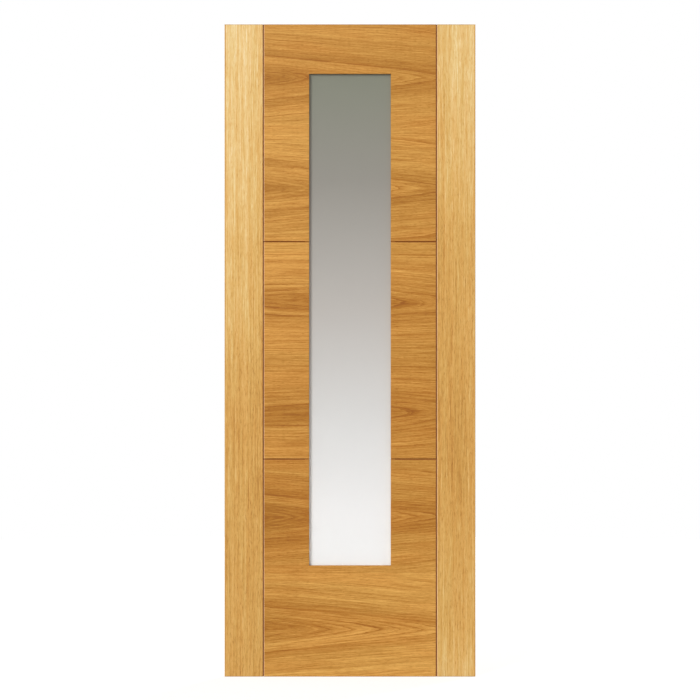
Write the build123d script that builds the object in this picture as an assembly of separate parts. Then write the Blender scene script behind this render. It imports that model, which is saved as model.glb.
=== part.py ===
from build123d import *
import os

# Oak-veneered door leaf with one tall narrow pane.
# A timber core is faced on both sides with veneered board. V-grooves are routed along the joints of the
# facings. The pane stands in a rebated lining, between two glazing tapes, and beads hold it from the back.
# Millimetres. Origin at the foot of the left edge, in the middle of the thickness. +X runs across the leaf,
# +Y from the front to the back and +Z up.

# Leaf
leaf_width = 762.0
leaf_height = 1981.0
leaf_thickness = 35.0
lipping_thickness = 4.0
lipping_arris = 1.0
face_thickness = 6.0

# Grooves between the facings
stile_width = 118.0
groove_width = 5.4
groove_depth = 4.6

# Opening for the pane, measured at the sight line on the front
sight_width = 248.0
sight_height = 1494.0
top_margin = 150.0
rim_arris = 0.5
lining_thickness = 6.0
rebate_width = 10.0
lip_depth = 6.0

# Glazing
glass_thickness = 6.0
glass_edge_gap = 2.0
glass_arris = 0.5
tape_thickness = 1.5
tape_setback = 1.0
bead_recess = 1.0
bead_foot = 3.0
bead_splay = 4.0

# Planes through the thickness, from the front to the back
front = -leaf_thickness / 2
back = leaf_thickness / 2
core_front = front + face_thickness
core_back = back - face_thickness
lip_back = core_front + lip_depth
glass_front = lip_back + tape_thickness
glass_back = glass_front + glass_thickness
bead_seat = glass_back + tape_thickness
bead_face = back - bead_recess

# Lines across the leaf and up it
left_joint = lipping_thickness
right_joint = leaf_width - lipping_thickness
left_groove = stile_width
right_groove = leaf_width - stile_width
rows = ("bottom", "middle", "top")
row_height = leaf_height / len(rows)
sight_top = leaf_height - top_margin
sight_bottom = sight_top - sight_height

# Distance within which an edge counts as lying on a line
touch = 0.01


def block(from_x, to_x, from_y, to_y, from_z, to_z):
    """A box between three pairs of planes."""
    box = Box(to_x - from_x, to_y - from_y, to_z - from_z, align=(Align.MIN, Align.MIN, Align.MIN))
    return Pos(from_x, from_y, from_z) * box


class Outline:
    """An upright rectangle round the pane, grown outwards from the sight line."""

    def __init__(self, grown):
        self.left = (leaf_width - sight_width) / 2 - grown
        self.right = (leaf_width + sight_width) / 2 + grown
        self.bottom = sight_bottom - grown
        self.top = sight_top + grown

    def slab(self, from_y, to_y):
        """The whole rectangle between two planes through the thickness."""
        return block(self.left, self.right, from_y, to_y, self.bottom, self.top)

    def holds(self, point):
        """Whether a point lies on the rectangle or inside it, seen from the front."""
        across = self.left - touch < point.X < self.right + touch
        return across and self.bottom - touch < point.Z < self.top + touch


sight = Outline(0)
rebate = Outline(rebate_width)
core_opening = Outline(rebate_width + lining_thickness)
pane_edge = Outline(rebate_width - glass_edge_gap)
tape_edge = Outline(tape_setback)


def core():
    """Two full-height stiles, two rails between them, and the infill on each side of the pane."""
    depth = (core_front, core_back)
    foot, head = core_opening.bottom, core_opening.top
    return {
        "left_stile_core": block(left_joint, left_groove, *depth, 0, leaf_height),
        "right_stile_core": block(right_groove, right_joint, *depth, 0, leaf_height),
        "top_rail_core": block(left_groove, right_groove, *depth, head, leaf_height),
        "bottom_rail_core": block(left_groove, right_groove, *depth, 0, foot),
        "left_infill_core": block(left_groove, core_opening.left, *depth, foot, head),
        "right_infill_core": block(core_opening.right, right_groove, *depth, foot, head),
    }


def lippings():
    """Solid strips on the two long edges, with their outer corners eased."""
    pieces = {}
    for name, outer, joint in (("left", 0, left_joint), ("right", leaf_width, right_joint)):
        strip = block(min(outer, joint), max(outer, joint), front, back, 0, leaf_height)
        uprights = strip.edges().filter_by(Axis.Z)
        corners = [edge for edge in uprights if abs(edge.center().X - outer) < touch]
        pieces[f"{name}_edge_lipping"] = fillet(corners, lipping_arris)
    return pieces


def groove_cutters(face, inward):
    """The V cutters of one face: two upright grooves, and a level one at each joint of the rows.

    inward is +1 on the front and -1 on the back. Each cutter stands out of the face as far as it goes in, so
    it is twice the groove's width at its own base.
    """
    outside = face - inward * groove_depth
    apex = face + inward * groove_depth
    section = make_face(Polyline((-groove_width, outside), (groove_width, outside), (0, apex), close=True))
    upright = extrude(section, leaf_height)
    across = Plane(origin=(right_groove, 0, 0), x_dir=(0, 0, 1), z_dir=(-1, 0, 0))
    level = extrude(across * section, right_groove - left_groove)
    uprights = [Pos(x, 0, 0) * upright for x in (left_groove, right_groove)]
    levels = [Pos(0, 0, row_height * joint) * level for joint in range(1, len(rows))]
    return uprights + levels


def facings(side, face, inward, opening):
    """The six facing pieces of one side.

    Two run up the stiles. The three rows between them are cut out for the pane, and that parts the middle
    row into two. The V-grooves are then routed along all the joints.
    """
    depth = sorted((face, face + inward * face_thickness))
    blanks = {
        "left_stile_face": block(left_joint, left_groove, *depth, 0, leaf_height),
        "right_stile_face": block(right_groove, right_joint, *depth, 0, leaf_height),
    }
    for number, row in enumerate(rows):
        foot = row_height * number
        panel = block(left_groove, right_groove, *depth, foot, foot + row_height) - opening.slab(*depth)
        rim = [
            edge
            for edge in panel.edges()
            if abs(edge.center().Y - face) < touch and opening.holds(edge.center())
        ]
        panel = chamfer(rim, rim_arris)
        halves = panel.solids().sort_by(Axis.X)
        names = [f"{row}_panel"] if len(halves) == 1 else [f"{row}_left_panel", f"{row}_right_panel"]
        blanks.update(zip(names, halves))
    cutters = groove_cutters(face, inward)
    return {f"{side}_{name}": blank - cutters for name, blank in blanks.items()}


def mitred_frame(section, outline):
    """Four bars of one section round an outline, each cut to 45 degrees at both ends.

    section holds points (inwards from the outline, through the thickness). Each bar is drawn upright, with
    its length along +Z, and is then turned and set on its side of the outline.
    """
    reach = max(inwards for inwards, _ in section)
    wide = outline.right - outline.left
    tall = outline.top - outline.bottom
    seats = {
        "left": (tall, Plane((outline.left, 0, outline.bottom), x_dir=(1, 0, 0), z_dir=(0, 0, 1))),
        "top": (wide, Plane((outline.left, 0, outline.top), x_dir=(0, 0, -1), z_dir=(1, 0, 0))),
        "right": (tall, Plane((outline.right, 0, outline.top), x_dir=(-1, 0, 0), z_dir=(0, 0, -1))),
        "bottom": (wide, Plane((outline.right, 0, outline.bottom), x_dir=(0, 0, 1), z_dir=(-1, 0, 0))),
    }
    bars = {}
    for name, (length, seat) in seats.items():
        bar = extrude(make_face(Polyline(*section, close=True)), length)
        mitres = [(0, 0, 0), (reach, 0, reach), (reach, 0, length - reach), (0, 0, length)]
        between_mitres = extrude(make_face(Polyline(*mitres, close=True)), leaf_thickness, both=True)
        bars[name] = seat.location * (bar & between_mitres)
    return bars


def linings():
    """The rebated lining: its lip stands in front of the pane, and behind the lip it makes the rebate."""
    lip_edge = lining_thickness + rebate_width
    section = [
        (0, core_front),
        (lip_edge, core_front),
        (lip_edge, lip_back),
        (lining_thickness, lip_back),
        (lining_thickness, core_back),
        (0, core_back),
    ]
    return {f"{name}_lining": bar for name, bar in mitred_frame(section, core_opening).items()}


def beads():
    """Splayed beads that fill the rebate behind the pane and stop just short of the back face."""
    section = [
        (0, bead_seat),
        (rebate_width, bead_seat),
        (rebate_width, bead_seat + bead_foot),
        (rebate_width - bead_splay, bead_face),
        (0, bead_face),
    ]
    return {f"{name}_bead": bar for name, bar in mitred_frame(section, rebate).items()}


def glazing():
    """The pane with its corners ground off, and a ring of tape on each side of its edge."""
    pane = pane_edge.slab(glass_front, glass_back)
    large_faces = pane.faces().filter_by(Axis.Y)
    pieces = {"glass_pane": chamfer(large_faces.edges(), glass_arris)}
    for name, from_y, to_y in (("front", lip_back, glass_front), ("back", glass_back, bead_seat)):
        pieces[f"{name}_glazing_tape"] = pane_edge.slab(from_y, to_y) - tape_edge.slab(from_y, to_y)
    return pieces


def door():
    """Every piece of the leaf by its name."""
    return {
        **core(),
        **lippings(),
        **linings(),
        **facings("front", front, 1, sight),
        **facings("back", back, -1, rebate),
        **glazing(),
        **beads(),
    }


os.makedirs("parts", exist_ok=True)
for node, piece in door().items():
    export_step(piece, f"parts/{node}.step")
    print(f"{node}: {piece.volume / 1000:.1f} cm3")
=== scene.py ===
import math

import bpy
import numpy as np
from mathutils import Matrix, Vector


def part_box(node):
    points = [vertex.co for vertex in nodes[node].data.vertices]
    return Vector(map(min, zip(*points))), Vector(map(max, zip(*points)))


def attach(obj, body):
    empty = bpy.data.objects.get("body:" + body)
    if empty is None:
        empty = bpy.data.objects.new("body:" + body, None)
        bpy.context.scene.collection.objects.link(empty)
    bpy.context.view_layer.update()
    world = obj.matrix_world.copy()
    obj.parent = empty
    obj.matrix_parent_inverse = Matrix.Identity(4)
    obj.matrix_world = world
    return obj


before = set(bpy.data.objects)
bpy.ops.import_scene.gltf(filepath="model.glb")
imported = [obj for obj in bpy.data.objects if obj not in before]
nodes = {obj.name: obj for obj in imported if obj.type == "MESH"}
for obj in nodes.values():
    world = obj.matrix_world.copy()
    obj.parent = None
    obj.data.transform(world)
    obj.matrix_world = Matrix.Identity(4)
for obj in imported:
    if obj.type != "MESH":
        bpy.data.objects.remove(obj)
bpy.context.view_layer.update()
scene = bpy.context.scene
white = (1, 1, 1, 1)

# Lines of the leaf, read from the CAD pieces (metres)
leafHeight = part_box("left_stile_core")[1].z
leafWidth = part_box("right_edge_lipping")[1].x
leafMiddle = leafWidth / 2
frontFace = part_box("front_left_stile_face")[0].y
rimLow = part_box("front_middle_left_panel")[1].x  # the pane's opening on the front, left and right
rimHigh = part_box("front_middle_right_panel")[0].x
paneLow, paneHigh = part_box("glass_pane")
print("leaf", round(leafWidth, 3), "x", round(leafHeight, 3), "m, front face at y", round(frontFace, 4))


# Node helpers: a number sets a socket, another socket is linked to it

def feed(tree, socket, value):
    if isinstance(value, bpy.types.NodeSocket):
        tree.links.new(value, socket)
    else:
        socket.default_value = value


def put(tree, kind, sockets=None, **options):
    node = tree.nodes.new("ShaderNode" + kind)
    for name, value in options.items():
        setattr(node, name, value)
    for name, value in (sockets or {}).items():
        feed(tree, node.inputs[name], value)
    return node


def calc(tree, operation, first, second=0.0, third=0.0):
    return put(tree, "Math", {0: first, 1: second, 2: third}, operation=operation).outputs[0]


def point(tree, x=0.0, y=0.0, z=0.0):
    return put(tree, "CombineXYZ", {0: x, 1: y, 2: z}).outputs[0]


def objectPoint(tree):
    split = put(tree, "SeparateXYZ", {0: put(tree, "TexCoord").outputs["Object"]})
    return split.outputs[0], split.outputs[1], split.outputs[2]


# How much finer noise is laid over a noise
softDetail = 1.0
plainDetail = 2.0
fineDetail = 3.0


# Noise from 0 to 1 at a point scaled by so many waves a metre each way
def noise(tree, where, waves, detail=plainDetail):
    scaled = put(tree, "VectorMath", {0: where, 1: waves}, operation="MULTIPLY").outputs[0]
    return put(tree, "TexNoise", {"Vector": scaled, "Scale": 1.0, "Detail": detail}).outputs[0]


# The same noise about zero
def ripple(tree, where, waves, detail=plainDetail):
    return calc(tree, "SUBTRACT", noise(tree, where, waves, detail), 0.5)


# Noise from 0 to 1 that is as fine each way
def speckle(tree, waves):
    return noise(tree, point(tree, *objectPoint(tree)), [waves] * 3)


# Noise drawn out along the grain of a veneer, and its weight. The grain is a point (across, along, seed),
# and the figures are waves a metre across and along, and the weight.
def veneerPart(tree, grain, figures, detail=plainDetail):
    across, along, weight = figures
    return ripple(tree, grain, (across, along, 1.0), detail), weight


# The same in solid wood, where the noise is as fine through the piece as across it
def timberPart(tree, grain, figures, detail=plainDetail):
    across, along, weight = figures
    return ripple(tree, grain, (across, along, across), detail), weight


def gap(tree, value, middle):
    return calc(tree, "ABSOLUTE", calc(tree, "SUBTRACT", value, middle))


# value in [low, high] carried to [start, end], eased and held at both ends
def ease(tree, value, low, high, start=0.0, end=1.0):
    sockets = {"Value": value, 1: low, 2: high, 3: start, 4: end}
    return put(tree, "MapRange", sockets, interpolation_type="SMOOTHSTEP").outputs[0]


def blend(tree, share, first, second):
    return put(tree, "Mix", {0: share, 2: first, 3: second}).outputs[0]


def blendColour(tree, share, first, second):
    return put(tree, "Mix", {0: share, 6: first, 7: second}, data_type="RGBA").outputs[2]


# Adds weighted parts to a starting value
def total(tree, start, parts):
    for part, weight in parts:
        start = calc(tree, "MULTIPLY_ADD", part, weight, start)
    return start


# A colour in sRGB, from 0 to 255, as light by the standard curve
def linear(red, green, blue):
    shares = np.array([red, green, blue]) / 255
    light = np.where(shares > 0.04045, ((shares + 0.055) / 1.055) ** 2.4, shares / 12.92)
    return light.tolist() + [1.0]


def ramp(tree, value, stops, way):
    node = put(tree, "ValToRGB", {0: value})
    node.color_ramp.interpolation = way
    elements = node.color_ramp.elements
    while len(elements) < len(stops):
        elements.new(0.5)  # its real place is set below
    for element, (position, colour) in zip(elements, stops):
        element.position = position
        element.color = colour
    return node.outputs[0]


# Colours along value, as (position, sRGB 0 to 255)
def colourRamp(tree, value, stops):
    return ramp(tree, value, [(position, linear(*colour)) for position, colour in stops], "LINEAR")


# A curve through (position, height). Heights from -1 to 1 are kept in the ramp as greys from 0 to 1.
def curve(tree, value, widest, stops):
    greys = [(position / widest, [0.5 + 0.5 * height] * 3 + [1.0]) for position, height in stops]
    shaped = ramp(tree, calc(tree, "DIVIDE", value, widest), greys, "EASE")
    return calc(tree, "MULTIPLY_ADD", shaped, 2.0, -1.0)


def newMaterial(name):
    material = bpy.data.materials.new(name)
    material.use_nodes = True
    material.node_tree.nodes.clear()
    return material, material.node_tree


def surface(tree, **sockets):
    shader = put(tree, "BsdfPrincipled", {key.replace("_", " "): value for key, value in sockets.items()})
    put(tree, "OutputMaterial", {0: shader.outputs[0]})


def bump(tree, height, strength, distance):
    return put(tree, "Bump", {"Height": height, "Strength": strength, "Distance": distance}).outputs[0]


# Studio: white all round, with one large soft lamp before the leaf and the same behind it

studio = {
    "cameraDistance": 8.0,
    "cameraHeight": 0.9919,
    "pixelsPerMetre": 329.2,  # the leaf stands 652 of 700 pixels high
    "picture": 700,
    "sensor": 36.0,
    "fill": 0.32,  # strength of the white round about, as light
    "keyTurn": 30.0,  # degrees to the left, for one who faces the leaf
    "keyLift": 19.0,
    "keyDistance": 24.0,
    "keySize": 8.0,
    "keyPower": 4750.0,
    "floorRadius": 6.0,
    "floorRings": 12,
    "floorSpokes": 64,
    "floorDrop": 0.001,
    "floorGlow": 0.72,
    "floorColour": (0.45, 0.45, 0.45, 1),
}


# 1 for rays that show the background itself: from the camera, off gloss and through glass
def rayShows(tree):
    path = put(tree, "LightPath").outputs
    glossy = calc(tree, "MAXIMUM", path["Is Glossy Ray"], path["Is Transmission Ray"])
    return calc(tree, "MAXIMUM", path["Is Camera Ray"], glossy)


def buildWorld():
    world = bpy.data.worlds.new("studioWorld")
    world.use_nodes = True
    tree = world.node_tree
    tree.nodes.clear()
    strength = calc(tree, "MULTIPLY_ADD", rayShows(tree), 1 - studio["fill"], studio["fill"])
    background = put(tree, "Background", {"Color": white, "Strength": strength})
    put(tree, "OutputWorld", {0: background.outputs[0]})
    scene.world = world


def softbox(name, turn):
    target = np.array([leafMiddle, 0, leafHeight / 2])
    side = math.radians(turn)
    rise = math.radians(studio["keyLift"])
    level = math.cos(rise)
    toward = np.array([-math.sin(side) * level, -math.cos(side) * level, math.sin(rise)])
    lamp = bpy.data.lights.new(name, "AREA")
    lamp.size = studio["keySize"]
    lamp.energy = studio["keyPower"]
    lampObject = bpy.data.objects.new(name, lamp)
    lampObject.location = target + toward * studio["keyDistance"]
    lampObject.rotation_euler = (math.radians(90) - rise, 0, -side)
    scene.collection.objects.link(lampObject)


# Disc on a polar grid: x = r cos a, y = r sin a, with r and a the two parameters
def buildFloor():
    spokes = studio["floorSpokes"]
    radii = np.linspace(0, 1, studio["floorRings"] + 1)[1:] * studio["floorRadius"]
    angles = np.linspace(0, 2 * np.pi, spokes, endpoint=False)
    r, a = np.meshgrid(radii, angles, indexing="ij")
    height = np.full_like(r, -studio["floorDrop"])
    places = np.stack([leafMiddle + r * np.cos(a), r * np.sin(a), height], axis=-1)
    inner = np.arange(places.size // 3 - spokes).reshape(-1, spokes)
    onward = np.roll(inner, -1, axis=1)
    quads = np.stack([inner, inner + spokes, onward + spokes, onward], axis=-1).reshape(-1, 4)
    mesh = bpy.data.meshes.new("floor")
    mesh.from_pydata(places.reshape(-1, 3).tolist(), [], quads.tolist() + [list(range(spokes))])
    floor = bpy.data.objects.new("floor", mesh)
    scene.collection.objects.link(floor)
    mesh.materials.append(paleFloor())


def paleFloor():
    material, tree = newMaterial("paleFloor")
    glow = calc(tree, "MULTIPLY", rayShows(tree), studio["floorGlow"])
    lit = put(tree, "BsdfDiffuse", {"Color": studio["floorColour"]})
    shown = put(tree, "Emission", {"Color": white, "Strength": glow})
    both = put(tree, "AddShader", {0: lit.outputs[0], 1: shown.outputs[0]})
    put(tree, "OutputMaterial", {0: both.outputs[0]})
    return material


def buildCamera():
    camera = bpy.data.cameras.new("camera")
    camera.sensor_width = studio["sensor"]
    camera.lens = studio["pixelsPerMetre"] * studio["sensor"] * studio["cameraDistance"] / studio["picture"]
    cameraObject = bpy.data.objects.new("camera", camera)
    cameraObject.location = (leafMiddle, frontFace - studio["cameraDistance"], studio["cameraHeight"])
    cameraObject.rotation_euler = (math.radians(90), 0, 0)
    scene.collection.objects.link(cameraObject)
    scene.camera = cameraObject


scene.view_settings.view_transform = "Standard"
buildWorld()
buildFloor()
buildCamera()
softbox("frontKey", studio["keyTurn"])
softbox("backKey", studio["keyTurn"] + 180)
print("studio ready, lens", round(scene.camera.data.lens, 1), "mm")


# Facings: a thin veneer on board. The board shows at the head and foot, and on the walls of the grooves,
# where its colour is darker towards the bottom: painted shade in the groove.

facing = {
    "thickness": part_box("front_left_stile_face")[1].y - frontFace,
    "veneer": 0.0006,
    "board": [(0.35, (190, 136, 92)), (0.65, (214, 164, 120))],
    "boardGrain": 900.0,
    # painted shade: the groove walls darken towards the bottom of the groove, where shade falls
    "wallPaintedShade": [  # by share of the thickness, from the face
        (0.1, (214, 160, 92)),
        (0.3, (200, 142, 76)),
        (0.42, (152, 82, 18)),
        (0.8, (126, 62, 6)),
    ],
    # painted highlight near the lip of the upright grooves' right walls, which face the lamp, and painted
    # shade towards the bottom
    "wallPaintedHighlightAndShade": [
        (0.1, (253, 218, 180)),
        (0.36, (246, 206, 164)),
        (0.47, (142, 80, 26)),
        (0.8, (116, 58, 6)),
    ],
    "grooveLine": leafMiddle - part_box("front_left_stile_face")[1].x,  # upright grooves, from the middle
    "grooveReach": 0.0028,  # walls this near to that line are in the groove
    "endReach": 0.0003,  # and faces this near to the head or foot are sawn ends
    # painted shade along the arrises at the head and foot
    "paintedEdgeShadeReach": 0.003,  # the veneer darkens this near to the head and foot
    "paintedEdgeShadeShare": 0.4,
    "paintedEdgeShade": (120, 72, 24),
    "rimReach": 0.013,  # walls this near the pane's opening are lipped with oak
    "rim": (188, 132, 64),
    "roughness": 0.42,
    "poreRoughness": 0.2,
    "cutRoughness": 0.9,
    "specular": 0.25,
    "fibreHeight": 0.5,  # against the depth of a pore
    "grainBump": (0.25, 0.0003),
}


def atHeadOrFoot(tree, z):
    return calc(tree, "GREATER_THAN", gap(tree, z, leafHeight / 2), leafHeight / 2 - facing["endReach"])


# What lies under the veneer: board at the head and foot, painted shade in the grooves, darker towards the
# bottom, and oak round the pane.
# The right wall of the upright grooves, for one who faces that side of the leaf, has a painted highlight
# near its lip, on the side that faces the lamp.
def underVeneer(tree, depth):
    x, y, z = objectPoint(tree)
    share = calc(tree, "DIVIDE", depth, facing["thickness"])
    fromMiddle = gap(tree, x, leafMiddle)
    onUpright = calc(tree, "LESS_THAN", gap(tree, fromMiddle, facing["grooveLine"]), facing["grooveReach"])
    past = calc(tree, "SUBTRACT", fromMiddle, facing["grooveLine"])
    toRight = calc(tree, "SIGN", calc(tree, "MULTIPLY", calc(tree, "SUBTRACT", leafMiddle, x), y))
    # the right wall of an upright groove takes the painted highlight
    rightWallPaintedHighlight = calc(tree, "GREATER_THAN", calc(tree, "MULTIPLY", past, toRight), 0.0)
    walls = [colourRamp(tree, share, facing[way]) for way in ("wallPaintedShade", "wallPaintedHighlightAndShade")]
    groove = blendColour(tree, calc(tree, "MULTIPLY", onUpright, rightWallPaintedHighlight), *walls)
    board = colourRamp(tree, speckle(tree, facing["boardGrain"]), facing["board"])
    cut = blendColour(tree, atHeadOrFoot(tree, z), groove, board)
    beside = calc(tree, "SUBTRACT", fromMiddle, (rimHigh - rimLow) / 2)
    fromCentre = gap(tree, z, (paneLow.z + paneHigh.z) / 2)
    over = calc(tree, "SUBTRACT", fromCentre, (paneHigh.z - paneLow.z) / 2)
    onRim = calc(tree, "LESS_THAN", calc(tree, "MAXIMUM", beside, over), facing["rimReach"])
    return blendColour(tree, onRim, cut, linear(*facing["rim"]))


# The veneer's colour on the face, with painted shade along the head and foot, and what lies under it
# wherever the facing is cut
def finishFacing(tree, face, pores, fibres):
    _, y, z = objectPoint(tree)
    depth = calc(tree, "SUBTRACT", abs(frontFace), calc(tree, "ABSOLUTE", y))
    end = leafHeight / 2
    # painted shade: the face darkens towards the head and foot
    paintedEdgeShade = ease(tree, gap(tree, z, end), end - facing["paintedEdgeShadeReach"], end, 0.0, facing["paintedEdgeShadeShare"])
    face = blendColour(tree, paintedEdgeShade, face, linear(*facing["paintedEdgeShade"]))
    cut = calc(tree, "GREATER_THAN", depth, facing["veneer"])
    height = calc(tree, "SUBTRACT", calc(tree, "MULTIPLY", fibres, facing["fibreHeight"]), pores)
    rough = calc(tree, "MULTIPLY_ADD", pores, facing["poreRoughness"], facing["roughness"])
    surface(
        tree,
        Base_Color=blendColour(tree, cut, face, underVeneer(tree, depth)),
        Roughness=blend(tree, cut, rough, facing["cutRoughness"]),
        Specular_IOR_Level=facing["specular"],
        Normal=bump(tree, height, *facing["grainBump"]),
    )


# Colours along a tone, leaning to orange where flush is 1 and to straw where it is 0
def woodColour(tree, tone, flush, colours, lean):
    orange = [(position, (r + lean, g - lean, b - lean)) for position, (r, g, b) in colours]
    straw = [(position, (r - lean, g + lean, b + lean)) for position, (r, g, b) in colours]
    return blendColour(tree, flush, colourRamp(tree, tone, straw), colourRamp(tree, tone, orange))


# Panel veneer: level grain. Each row is two leaves of flat-sawn veneer opened like a book about a level
# seam. ring = (1 - point) * sqrt(v * v + heart * heart) + point * |v| + (tilt * u + bow * u * u) * fade,
# with u from the door's middle line, v from the flame's middle line, away from the seam, and fade falling
# to 0 at the seam. Along a contour of ring the wood is of one year, so the contours make the flames, and
# their tips lie on v = 0. Streaks are tones by ring, inside the flame's middle line (towards the seam) and
# outside it.

flameLeaf = {
    "heart": 0.034,
    "point": 0.2,
    "tilt": (0.086, 0.080),  # inside, outside
    "bow": 0.0,
    "hold": 0.124,  # fade is 1 up to this distance from the middle line
    "inner": [
        (0.0, -0.20), (0.013, -0.18), (0.022, -0.08), (0.040, 0.0), (0.050, -0.03), (0.058, -0.15),
        (0.072, -0.11), (0.080, 0.01), (0.094, 0.11), (0.105, 0.03), (0.122, 0.03), (0.131, 0.13),
        (0.140, 0.09), (0.17, 0.10),
    ],
    "outer": [
        (0.0, -0.18), (0.012, -0.13), (0.024, -0.09), (0.037, 0.11), (0.048, 0.03), (0.054, -0.13),
        (0.068, -0.11), (0.076, 0.0), (0.100, 0.04), (0.117, -0.02), (0.124, 0.15), (0.133, 0.06),
        (0.141, 0.11), (0.17, 0.03),
    ],
}
ovalLeaf = {
    "heart": 0.050,
    "point": 0.17,
    "tilt": (0.014, 0.051),
    "bow": 0.12,
    "hold": 0.045,
    "inner": [
        (0.03, -0.10), (0.042, -0.20), (0.051, -0.19), (0.057, 0.01), (0.066, -0.07), (0.092, -0.03),
        (0.100, 0.05), (0.116, 0.04), (0.131, 0.09), (0.137, 0.0), (0.152, 0.03), (0.166, -0.02),
    ],
    "outer": [
        (0.03, -0.14), (0.042, -0.22), (0.048, -0.06), (0.054, -0.11), (0.062, 0.07), (0.069, 0.0),
        (0.104, -0.02), (0.113, 0.15), (0.121, 0.04), (0.143, 0.09), (0.17, 0.04),
    ],
}

# The rows of panels: height of the seam, and reach from it to the flames' middle lines. The tones inside and
# outside those lines, and the drift of tone a metre from left to right, are for the leaf below the seam and
# the one above it.
frontRows = {
    "top": {
        "leaf": flameLeaf, "seam": 1.6517, "reach": 0.168, "seed": 1.7,
        "inside": (0.01, -0.04), "outside": (-0.05, -0.07), "drift": (-0.20, -0.08),
    },
    "middle": {
        "leaf": ovalLeaf, "seam": 0.9695, "reach": 0.170, "seed": 8.2,
        "inside": (-0.08, -0.03), "outside": (-0.09, -0.01), "drift": (-0.18, -0.26),
    },
    "bottom": {
        "leaf": flameLeaf, "seam": 0.3140, "reach": 0.171, "seed": 4.6,
        "inside": (0.01, -0.11), "outside": (0.08, -0.13), "drift": (0.24, 0.15),
    },
}
backRows = {
    "top": {
        "leaf": flameLeaf, "seam": 1.6460, "reach": 0.160, "seed": 21.7,
        "inside": (0.0, -0.06), "outside": (0.0, -0.06), "drift": (0.1, 0.1),
    },
    "middle": {
        "leaf": ovalLeaf, "seam": 0.9905, "reach": 0.181, "seed": 28.2,
        "inside": (0.03, -0.03), "outside": (0.03, -0.03), "drift": (-0.1, -0.1),
    },
    "bottom": {
        "leaf": flameLeaf, "seam": 0.3260, "reach": 0.163, "seed": 24.6,
        "inside": (-0.05, 0.02), "outside": (-0.05, 0.02), "drift": (0.15, 0.15),
    },
}

panel = {
    "level": 0.592,  # the tone to which all parts are added
    "widest": 0.2,  # ring at the end of the streak curves
    "turn": 0.03,  # within this of the middle line one tilt gives way to the other
    "streakTurn": 0.008,  # and within this the streaks inside give way to those outside
    "sister": 0.25,  # how far the two leaves of a row differ
    "streak": 1.04,  # strength of the streaks at the door's middle line
    "streakFall": -0.8,  # and its change a metre, from left to right
    "waver": (9.0, 3.0, 0.010),  # waves across and along, and how far a ring moves
    "feather": (260.0, 6.0, 0.0022),  # the same, for single fibres
    "strands": [  # waves across and along, and weight
        (60.0, 1.0, 0.06),
        (170.0, 2.0, 0.08),
        (300.0, 3.5, 0.36),
        (440.0, 8.0, 0.6),
    ],
    "fibres": (480.0, 16.0, 0.64),
    "dashes": (420.0, 75.0, 0.26),
    "pores": (1500.0, 70.0, -0.6),
    "poreEdge": (0.10, 0.2),
    "latePores": 0.5,  # share of the pores between the close lines
    "broadYears": (0.0170, 9.0),  # spacing and sharpness
    "broadWeight": -0.44,
    "closeYears": (0.0056, 4.0),
    "closeWeight": -0.54,
    "heartReach": (0.010, 0.060),  # the close lines fade between these distances from the middle line
    "closeLines": 0.3,  # and this much of them is left there
    "yearWaves": 45.0,  # a metre of ring
    "yearMove": 2.5,  # and how many years they move a line
    "yearChange": (0.73, 2.5, 1.0),  # waves a year, along and by seed, for the strength of a line
    "yearEdge": (-0.15, 0.2),
    "faintest": 0.1,
    "flush": (22.0, 3.0, 1.0),  # waves across, along and by seed, from straw to orange
    "flushEdge": (-0.2, 0.2),
    "lean": 1.2,  # out of 255
    "colours": [
        (0.0, (151, 88, 19)),
        (0.25, (172, 111, 32)),
        (0.5, (193, 134, 55)),
        (0.75, (215, 157, 75)),
        (1.0, (236, 181, 95)),
    ],
}


# Dark at once where a year starts and fading through it, with its strength changing from year to year
def yearLines(tree, ring, x, seed, spacing, sharpness):
    wander = ripple(tree, point(tree, ring, 0.0, seed), (panel["yearWaves"], 1.0, 1.0), softDetail)
    count = calc(tree, "MULTIPLY_ADD", wander, panel["yearMove"], calc(tree, "DIVIDE", ring, spacing))
    line = calc(tree, "POWER", calc(tree, "SUBTRACT", 1.0, calc(tree, "FRACT", count)), sharpness)
    strength = ripple(tree, point(tree, calc(tree, "FLOOR", count), x, seed), panel["yearChange"])
    return calc(tree, "MULTIPLY", line, ease(tree, strength, *panel["yearEdge"], panel["faintest"], 1.0))


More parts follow.
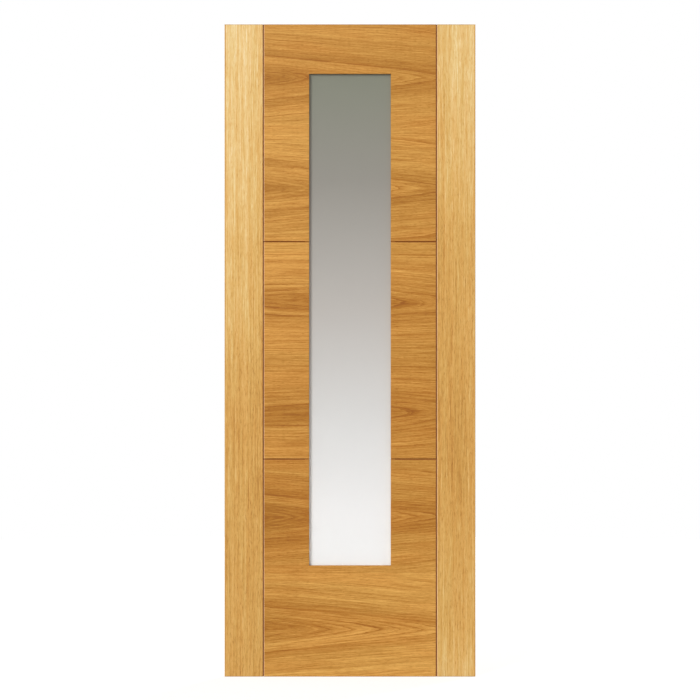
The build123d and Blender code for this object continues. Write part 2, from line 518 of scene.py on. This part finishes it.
def panelVeneer(name, row):
    leaf = row["leaf"]
    material, tree = newMaterial(name)
    x, _, z = objectPoint(tree)
    fromSeam = calc(tree, "SUBTRACT", z, row["seam"])
    onUpper = calc(tree, "GREATER_THAN", fromSeam, 0.0)
    seed = calc(tree, "MULTIPLY_ADD", onUpper, panel["sister"], row["seed"])
    u = calc(tree, "SUBTRACT", x, leafMiddle)
    v = calc(tree, "SUBTRACT", calc(tree, "ABSOLUTE", fromSeam), row["reach"])
    away = calc(tree, "ABSOLUTE", v)
    fade = ease(tree, away, leaf["hold"], row["reach"], 1.0, 0.0)
    tilt = blend(tree, ease(tree, v, -panel["turn"], panel["turn"]), *leaf["tilt"])
    slope = calc(tree, "MULTIPLY", u, calc(tree, "MULTIPLY_ADD", u, leaf["bow"], tilt))
    rounded = calc(tree, "SQRT", calc(tree, "MULTIPLY_ADD", v, v, leaf["heart"] ** 2))
    ring = calc(tree, "MULTIPLY_ADD", slope, fade, blend(tree, leaf["point"], rounded, away))

    # fibres run straight along the log, so the edges of a flame are feathered
    straight = point(tree, v, x, seed)
    ring = total(tree, ring, [veneerPart(tree, straight, panel[way]) for way in ("waver", "feather")])
    grain = point(tree, ring, x, seed)

    outside = ease(tree, v, -panel["streakTurn"], panel["streakTurn"])
    streaks = [curve(tree, ring, panel["widest"], leaf[side]) for side in ("inner", "outer")]
    strength = calc(tree, "MULTIPLY_ADD", u, panel["streakFall"], panel["streak"])
    tones = [blend(tree, onUpper, *row[side]) for side in ("inside", "outside")]
    parts = [
        (blend(tree, outside, *streaks), strength),
        (blend(tree, outside, *tones), 1.0),
        (u, blend(tree, onUpper, *row["drift"])),
    ]
    parts += [veneerPart(tree, grain, strand, fineDetail) for strand in panel["strands"]]

    nearHeart = ease(tree, away, *panel["heartReach"], 1.0, panel["closeLines"])
    broad = yearLines(tree, ring, x, seed, *panel["broadYears"])
    close = calc(tree, "MULTIPLY", yearLines(tree, ring, x, seed, *panel["closeYears"]), nearHeart)
    fibres, fibreWeight = veneerPart(tree, straight, panel["fibres"])
    dots, poreWeight = veneerPart(tree, straight, panel["pores"], softDetail)
    inYear = blend(tree, close, panel["latePores"], 1.0)
    pores = calc(tree, "MULTIPLY", ease(tree, dots, *panel["poreEdge"]), inYear)
    parts += [
        (broad, panel["broadWeight"]),
        (close, panel["closeWeight"]),
        (fibres, fibreWeight),
        veneerPart(tree, straight, panel["dashes"], softDetail),
        (pores, poreWeight),
    ]
    flush = ease(tree, ripple(tree, grain, panel["flush"]), *panel["flushEdge"])
    face = woodColour(tree, total(tree, panel["level"], parts), flush, panel["colours"], panel["lean"])
    finishFacing(tree, face, pores, fibres)
    return material


# Stile veneer: upright, nearly straight grain, paler than the panels and palest at the head

stile = {
    "seeds": {"front": 2.4, "back": 9.1},
    "level": 0.53,  # the tone to which all parts are added
    "left": [(0.0, -0.14), (0.38, -0.16), (0.6, 0.0), (0.8, 0.14), (1.0, 0.20)],  # by share of the height
    "right": [(0.0, 0.05), (0.1, -0.08), (0.35, -0.18), (0.62, -0.15), (0.8, 0.05), (1.0, 0.14)],
    "across": [  # by distance from the outer edge
        (0.0, 0.06),
        (0.05, 0.03),
        (0.085, -0.01),
        (0.1, -0.07),
        (0.12, -0.07),
    ],
    "width": 0.12,  # distance at the end of that curve
    "acrossFrom": (0.15, 0.6),  # share of the height at which the tone across starts and is full
    "sway": (6.0, 1.3, 0.005),  # waves across and along, and how far the grain moves
    "strands": [  # waves across and along, and weight
        (35.0, 0.6, 0.2),
        (170.0, 2.0, 0.26),
        (320.0, 4.0, 0.46),
        (450.0, 9.0, 0.51),
        (460.0, 45.0, 0.38),
    ],
    "flecks": (190.0, 16.0, 0.1),
    "fleckEdge": (0.08, 0.2),
    "pores": (1500.0, 60.0, -0.35),
    "poreEdge": (0.10, 0.2),
    "fibres": (900.0, 20.0, 0.25),
    "flush": (90.0, 3.0, 1.0),  # waves across, along and by seed
    "flushEdge": (-0.2, 0.2),
    "lean": 1,  # out of 255
    "colours": [
        (0.0, (160, 104, 36)),
        (0.32, (207, 154, 76)),
        (0.55, (222, 176, 100)),
        (0.78, (235, 201, 136)),
        (1.0, (246, 224, 176)),
    ],
}


def stileVeneer(name, seed):
    material, tree = newMaterial(name)
    x, _, z = objectPoint(tree)
    sway = veneerPart(tree, point(tree, x, z, seed), stile["sway"])
    grain = point(tree, total(tree, x, [sway]), z, seed)
    share = calc(tree, "DIVIDE", z, leafHeight)
    onRight = calc(tree, "GREATER_THAN", x, leafMiddle)
    shades = [curve(tree, share, 1.0, stile[side]) for side in ("left", "right")]
    fromEdge = calc(tree, "SUBTRACT", leafWidth / 2, gap(tree, x, leafMiddle))
    across = curve(tree, fromEdge, stile["width"], stile["across"])
    parts = [(blend(tree, onRight, *shades), 1.0), (across, ease(tree, share, *stile["acrossFrom"]))]
    parts += [veneerPart(tree, grain, strand) for strand in stile["strands"]]
    spots, fleckWeight = veneerPart(tree, grain, stile["flecks"], softDetail)
    dots, poreWeight = veneerPart(tree, grain, stile["pores"], softDetail)
    fibres, fibreWeight = veneerPart(tree, grain, stile["fibres"])
    flecks = ease(tree, spots, *stile["fleckEdge"])
    pores = ease(tree, dots, *stile["poreEdge"])
    parts += [(flecks, fleckWeight), (pores, poreWeight), (fibres, fibreWeight)]
    flush = ease(tree, ripple(tree, grain, stile["flush"]), *stile["flushEdge"])
    face = woodColour(tree, total(tree, stile["level"], parts), flush, stile["colours"], stile["lean"])
    finishFacing(tree, face, pores, fibres)
    return material


# Solid oak of the lippings, lining and beads: grain along the piece's length

solid = {
    "levelShift": 5.0,  # level pieces take their grain from this far off
    "level": 0.5,  # the tone to which all parts are added
    "strands": [(180.0, 2.5, 0.8), (420.0, 9.0, 0.5)],  # waves across and along, and weight
    "fibres": (900.0, 14.0, 0.35),
    "pores": (1600.0, 60.0, -0.35),
    "poreEdge": (0.10, 0.2),
    "colours": [(0.2, (186, 130, 60)), (0.5, (210, 159, 86)), (0.8, (228, 186, 118))],
    "roughness": 0.46,
    "poreRoughness": 0.2,
    "endRoughness": 0.9,  # sawn, at the head and foot of the leaf
    "specular": 0.25,
    "grainBump": (0.2, 0.0003),
}


def solidOak(name, upright):
    material, tree = newMaterial(name)
    x, y, z = objectPoint(tree)
    along, across = (z, x) if upright else (x, z)
    shift = 0.0 if upright else solid["levelShift"]
    grain = point(tree, calc(tree, "ADD", across, shift), along, y)
    parts = [timberPart(tree, grain, strand) for strand in solid["strands"]]
    fibres, fibreWeight = timberPart(tree, grain, solid["fibres"])
    dots, poreWeight = timberPart(tree, grain, solid["pores"], softDetail)
    pores = ease(tree, dots, *solid["poreEdge"])
    parts += [(fibres, fibreWeight), (pores, poreWeight)]
    rough = calc(tree, "MULTIPLY_ADD", pores, solid["poreRoughness"], solid["roughness"])
    surface(
        tree,
        Base_Color=colourRamp(tree, total(tree, solid["level"], parts), solid["colours"]),
        Roughness=blend(tree, atHeadOrFoot(tree, z), rough, solid["endRoughness"]),
        Specular_IOR_Level=solid["specular"],
        Normal=bump(tree, fibres, *solid["grainBump"]),
    )
    return material


# Core: staves of softwood glued side by side. On a stave's sawn end the rings are arcs about its own pith.

core = {
    "stave": 0.036,
    "pithAcross": (-0.03, 0.03),  # where the pith may lie, from the stave's middle
    "pithDepth": (0.02, 0.07),  # and from the leaf's middle
    "ringSpacing": 0.0032,
    "uneven": (60.0, 3.0, 0.003),  # waves across and along, and how far a ring moves
    "lateEdge": 3.0,  # how sharply a ring darkens at its end
    "level": 0.55,
    "lateTone": -0.35,
    "staveTone": 0.25,
    "saw": (700.0, 40.0, 0.4),  # waves across and along, and weight
    "colours": [(0.15, (186, 140, 84)), (0.5, (214, 174, 118)), (0.85, (232, 200, 150))],
    "roughness": 0.92,
    "lateRoughness": -0.1,
    "specular": 0.15,
    "sawBump": (0.3, 0.0003),
}


def coreTimber(name, upright):
    material, tree = newMaterial(name)
    x, y, z = objectPoint(tree)
    along, across = (z, x) if upright else (x, z)
    grain = point(tree, across, along, y)
    number = calc(tree, "FLOOR", calc(tree, "DIVIDE", across, core["stave"]))
    chance = put(tree, "TexWhiteNoise", {"W": number}, noise_dimensions="1D").outputs[0]
    fromMiddle = calc(tree, "SUBTRACT", calc(tree, "MODULO", across, core["stave"]), core["stave"] / 2)
    sideways = calc(tree, "SUBTRACT", fromMiddle, blend(tree, chance, *core["pithAcross"]))
    depth = calc(tree, "SUBTRACT", y, blend(tree, chance, *core["pithDepth"]))
    squares = calc(tree, "MULTIPLY_ADD", sideways, sideways, calc(tree, "MULTIPLY", depth, depth))
    radius = total(tree, calc(tree, "SQRT", squares), [timberPart(tree, grain, core["uneven"])])
    year = calc(tree, "FRACT", calc(tree, "DIVIDE", radius, core["ringSpacing"]))
    late = calc(tree, "POWER", year, core["lateEdge"])
    saw, sawWeight = timberPart(tree, grain, core["saw"])
    parts = [(late, core["lateTone"]), (chance, core["staveTone"]), (saw, sawWeight)]
    surface(
        tree,
        Base_Color=colourRamp(tree, total(tree, core["level"], parts), core["colours"]),
        Roughness=calc(tree, "MULTIPLY_ADD", late, core["lateRoughness"], core["roughness"]),
        Specular_IOR_Level=core["specular"],
        Normal=bump(tree, saw, *core["sawBump"]),
    )
    return material


# Pane: satin-etched on both faces, with a painted reflection in its colour: grey at the head, clearing to
# white downwards

pane = {
    # painted reflection, white at the foot and grey at the head
    "shade": [  # by share of the height
        (0.0, (252, 252, 251)),
        (0.10, (251, 250, 249)),
        (0.28, (233, 232, 230)),
        (0.52, (201, 196, 190)),
        (0.78, (158, 154, 145)),
        (1.0, (136, 138, 121)),
    ],
    "roughness": 0.3,
    "refraction": 1.5,
    "seeThrough": 0.4,
    "etch": (0.05, 0.0001),
    "etchGrain": 2200.0,
}


def paneGlass():
    material, tree = newMaterial("satinPane")
    _, _, z = objectPoint(tree)
    share = put(tree, "MapRange", {"Value": z, 1: paneLow.z, 2: paneHigh.z}).outputs[0]
    # the base colour holds the painted reflection
    surface(
        tree,
        Base_Color=colourRamp(tree, share, pane["shade"]),
        Roughness=pane["roughness"],
        IOR=pane["refraction"],
        Transmission_Weight=pane["seeThrough"],
        Normal=bump(tree, speckle(tree, pane["etchGrain"]), *pane["etch"]),
    )
    return material


# Glazing tape: closed-cell foam

tape = {
    "cells": 2500.0,
    "colours": [(0.3, (30, 29, 28)), (0.7, (52, 50, 48))],
    "roughness": 0.85,
    "cellBump": (0.4, 0.0003),
}


def glazingTape():
    material, tree = newMaterial("foamTape")
    cells = speckle(tree, tape["cells"])
    surface(
        tree,
        Base_Color=colourRamp(tree, cells, tape["colours"]),
        Roughness=tape["roughness"],
        Normal=bump(tree, cells, *tape["cellBump"]),
    )
    return material


# Pins of the beads: heads set in the splayed faces and stopped with filler, which stands up in a low dome

pin = {
    "radius": 0.0012,
    "dome": 0.00015,
    "sunk": 0.0003,
    "spacing": 0.19,
    "fewest": 2,
    "fromEnd": 0.06,
    "foot": 0.003,  # the bead's square foot on the pane, below its splay
    "splay": 0.004,
    "rings": 3,
    "spokes": 16,
    "colours": [(0.3, (138, 90, 44)), (0.7, (170, 118, 64))],
    "grit": 1800.0,
    "roughness": 0.7,
    "gritBump": (0.3, 0.0001),
}


# Where the pins of one bead stand: evenly along the middle of its splay, square to it. inward points from
# the bead to the pane's middle, and outward is square to the splay, between inward and the leaf's back.
def pinSpots(name, along, inward):
    low, high = [np.array(corner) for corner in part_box(name)]
    axis = int(np.argmax(np.abs(along)))
    count = max(pin["fewest"], round((high[axis] - low[axis]) / pin["spacing"]))
    steps = np.linspace(low[axis] + pin["fromEnd"], high[axis] - pin["fromEnd"], count)
    back = np.array([0.0, 1.0, 0.0])
    rise = high[1] - low[1] - pin["foot"]
    outward = rise * inward + pin["splay"] * back
    outward = outward / np.linalg.norm(outward)
    edge = np.where(inward > 0, high, low)
    edge[1] = (low[1] + pin["foot"] + high[1]) / 2
    spots = np.tile(edge - inward * pin["splay"] / 2, (count, 1))
    spots[:, axis] = steps
    return spots, np.tile(np.stack([along, np.cross(outward, along), outward]), (count, 1, 1))


# One head: place = radius * r * (cos a, sin a) across the splay and dome * (1 - r * r) out of it, with r and
# a the two parameters. At r = 1 a skirt goes down into the bead, and a disc closes it there.
def buildPins():
    right = np.array([1.0, 0.0, 0.0])
    up = np.array([0.0, 0.0, 1.0])
    ways = {
        "left_bead": (up, right),
        "right_bead": (up, -right),
        "top_bead": (right, -up),
        "bottom_bead": (right, up),
    }
    found = [pinSpots(name, *way) for name, way in ways.items()]
    spots = np.concatenate([places for places, _ in found])
    turns = np.concatenate([turned for _, turned in found])
    share = np.append(np.linspace(0, 1, pin["rings"] + 1)[1:], 1.0)
    height = pin["dome"] * (1 - share ** 2)
    height[-1] = -pin["sunk"]
    r, a = np.meshgrid(share, np.linspace(0, 2 * np.pi, pin["spokes"], endpoint=False), indexing="ij")
    rise = np.broadcast_to(height[:, None], r.shape)
    head = np.stack([pin["radius"] * r * np.cos(a), pin["radius"] * r * np.sin(a), rise], axis=-1)
    places = spots[:, None, None, :] + np.einsum("rsk,pkj->prsj", head, turns)
    number = np.arange(places.size // 3).reshape(places.shape[:3])
    onward = np.roll(number, -1, axis=2)
    corners = [number[:, :-1], number[:, 1:], onward[:, 1:], onward[:, :-1]]
    quads = np.stack(corners, axis=-1).reshape(-1, 4)
    discs = np.concatenate([number[:, 0], number[:, -1, ::-1]])
    mesh = bpy.data.meshes.new("beadPins")
    mesh.from_pydata(places.reshape(-1, 3).tolist(), [], quads.tolist() + discs.tolist())
    pins = bpy.data.objects.new("beadPins", mesh)
    scene.collection.objects.link(pins)
    mesh.materials.append(pinFiller())
    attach(pins, "root")
    print(len(spots), "pins in the beads")


def pinFiller():
    material, tree = newMaterial("pinFiller")
    grit = speckle(tree, pin["grit"])
    surface(
        tree,
        Base_Color=colourRamp(tree, grit, pin["colours"]),
        Roughness=pin["roughness"],
        Normal=bump(tree, grit, *pin["gritBump"]),
    )
    return material


buildPins()


# Materials on the CAD pieces

def dress(material, *names):
    for name in names:
        slots = nodes[name].data.materials
        slots.clear()
        slots.append(material)


# Names of pieces that come in twos, such as left_bead and right_bead
def pairs(first, second, *pieces):
    return [f"{side}_{piece}" for piece in pieces for side in (first, second)]


for side, rows in (("front", frontRows), ("back", backRows)):
    for row, figure in rows.items():
        panels = pairs("middle_left", "middle_right", "panel") if row == "middle" else [f"{row}_panel"]
        dress(panelVeneer(f"{side}{row.title()}Row", figure), *[f"{side}_{piece}" for piece in panels])
    stiles = pairs(f"{side}_left", f"{side}_right", "stile_face")
    dress(stileVeneer(f"{side}Stiles", stile["seeds"][side]), *stiles)
dress(solidOak("uprightOak", True), *pairs("left", "right", "edge_lipping", "lining", "bead"))
dress(solidOak("levelOak", False), *pairs("top", "bottom", "lining", "bead"))
dress(coreTimber("uprightCore", True), *pairs("left", "right", "stile_core", "infill_core"))
dress(coreTimber("levelCore", False), *pairs("top", "bottom", "rail_core"))
dress(paneGlass(), "glass_pane")
dress(glazingTape(), *pairs("front", "back", "glazing_tape"))
print("materials set on", len(nodes), "pieces")
